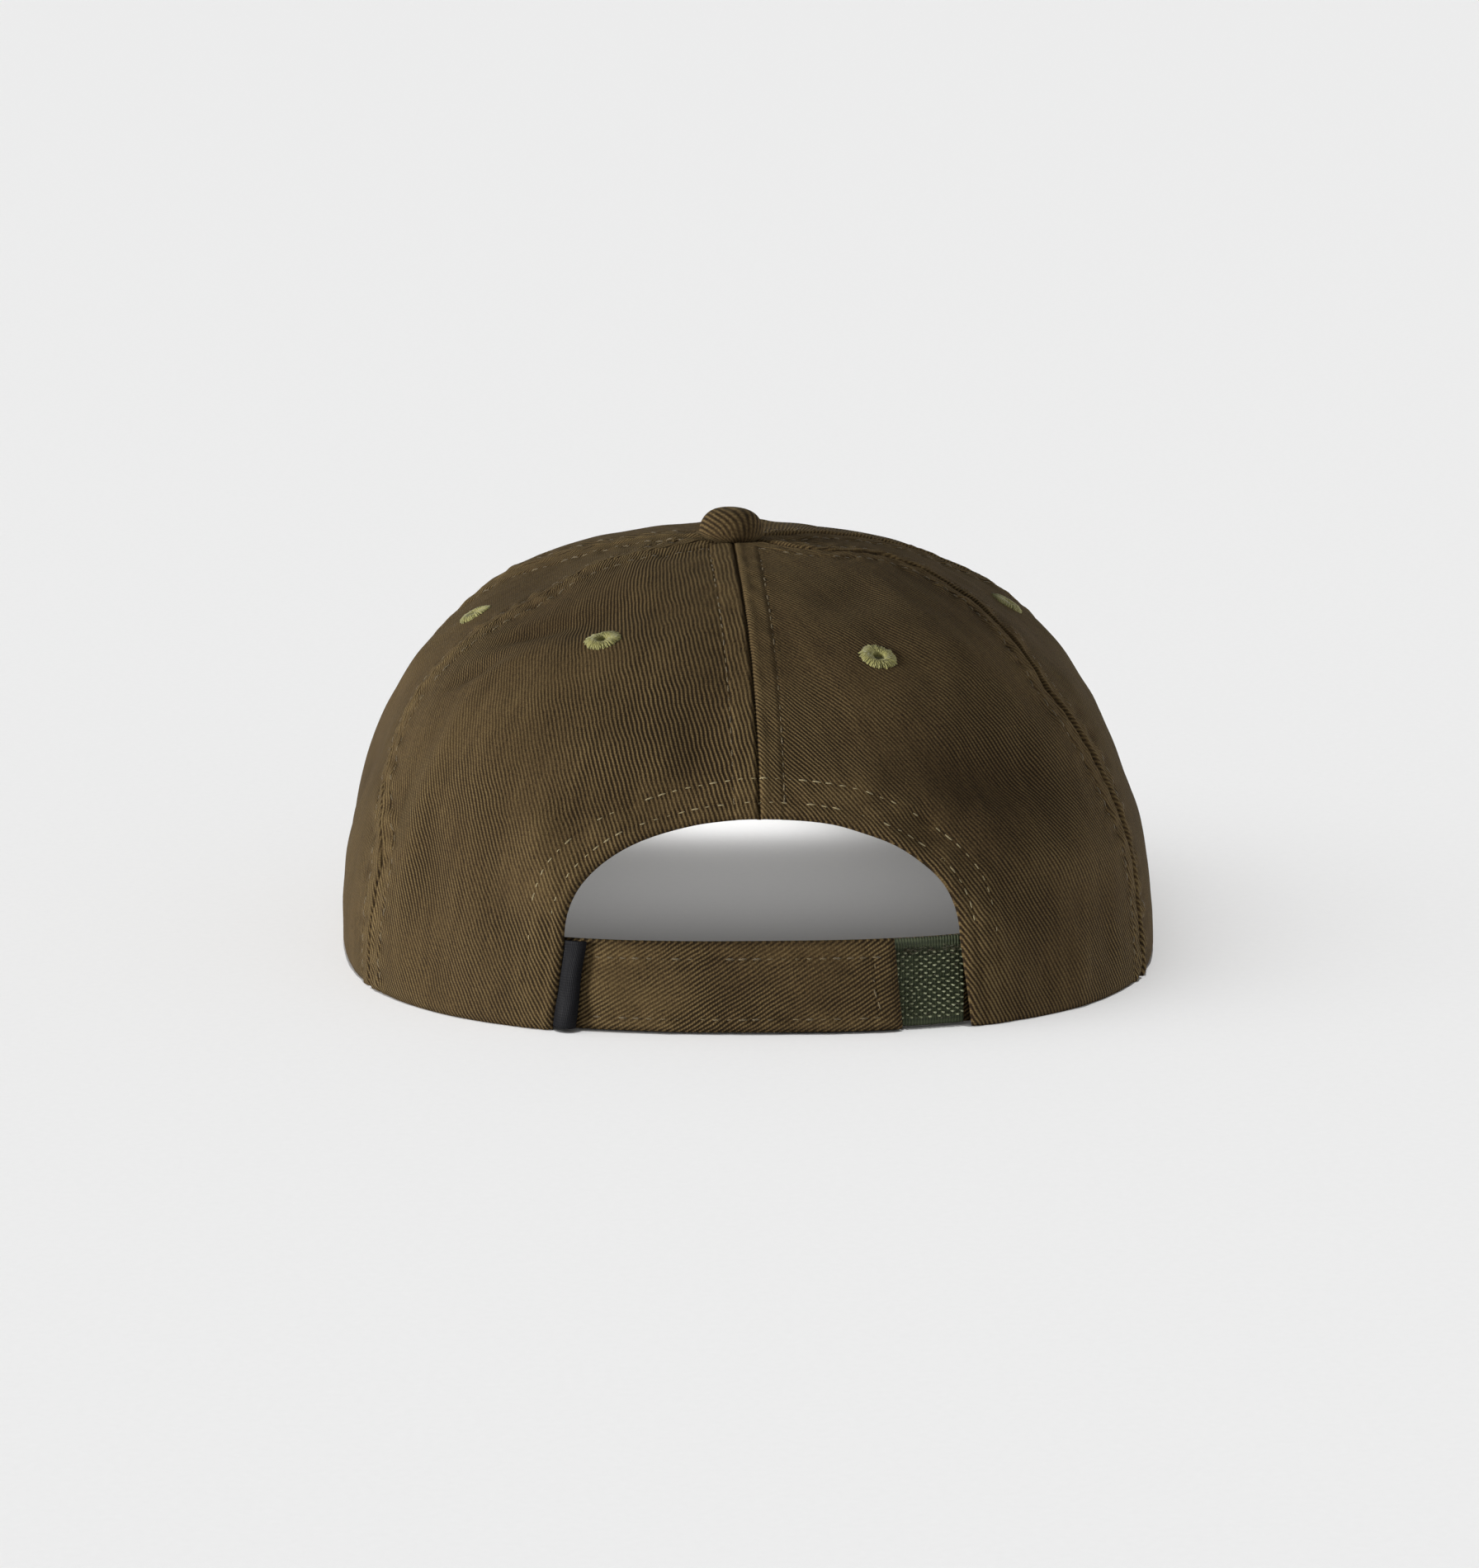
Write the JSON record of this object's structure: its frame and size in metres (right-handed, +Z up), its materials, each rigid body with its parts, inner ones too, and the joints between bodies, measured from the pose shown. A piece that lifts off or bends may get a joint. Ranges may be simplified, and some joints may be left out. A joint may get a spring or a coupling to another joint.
{
  "type": "baseball cap",
  "caption": "Low-profile panelled cotton twill cap with a pre-curved visor, covered top button, stitched eyelets and an adjustable hook-and-loop strap across the rear opening.",
  "frame": {"origin": "centre of the head opening, in the plane of the flat back and side rim", "axes": "+Z up through the top button, -Y forward along the visor, +Y to the strap, +X to the wearer's left"},
  "size_m": [0.176, 0.2638, 0.0931],
  "materials": {
    "twill": "matte brushed cotton twill",
    "buckram": "stiff open weave",
    "binding": "matte plain weave",
    "sweatband": "matte plain weave",
    "foam": "open foam",
    "visor_board": "smooth sheet",
    "button_metal": "satin",
    "eyelet_thread": "satin thread",
    "loop_tape": "fuzzy loops",
    "hook_tape": "woven tape with plastic hooks",
    "label": "woven satin"
  },
  "bodies": {
    "crown": {"front_panel_left": "twill", "front_panel_right": "twill", "side_panel_left": "twill", "side_panel_right": "twill", "rear_panel_left": "twill", "rear_panel_right": "twill", "front_buckram_left": "buckram", "front_buckram_right": "buckram", "front_centre_seam_tape": "binding", "rear_centre_seam_tape": "binding", "front_seam_tape_left": "binding", "front_seam_tape_right": "binding", "rear_seam_tape_left": "binding", "rear_seam_tape_right": "binding", "arch_facing": "binding", "sweatband": "sweatband", "sweatband_padding": "foam", "visor_board": "visor_board", "visor_top_cover": "twill", "visor_under_cover": "twill", "button_cover": "twill", "button_shell": "button_metal", "button_rivet": "button_metal", "eyelet_front_left": "eyelet_thread", "eyelet_front_right": "eyelet_thread", "eyelet_side_left": "eyelet_thread", "eyelet_side_right": "eyelet_thread", "eyelet_rear_left": "eyelet_thread", "eyelet_rear_right": "eyelet_thread", "strap_sewn_end": "twill", "tab_sewn_end": "twill"},
    "strap": {"strap": "twill", "strap_loop_tape": "loop_tape"},
    "tab": {"tab": "twill", "tab_hook_tape": "hook_tape"},
    "label": {"side_label": "label"}
  },
  "joints": [
    {"name": "strap_peel", "type": "hinge", "parent": "crown", "child": "strap", "pos_m": [0.04153, 0.09013, 0.00975], "axis": [0.1389, 0.0623, -0.9883], "range_deg": [0, 80]},
    {"name": "tab_swing", "type": "hinge", "parent": "crown", "child": "tab", "pos_m": [-0.0434, 0.08535, 0.00985], "axis": [0, 0, -1], "range_deg": [0, 50]},
    {"name": "label_flap", "type": "hinge", "parent": "strap", "child": "label", "pos_m": [0.04073, 0.09024, 0.00973], "axis": [0.1388, 0.0637, -0.9883], "range_deg": [0, 40]}
  ]
}
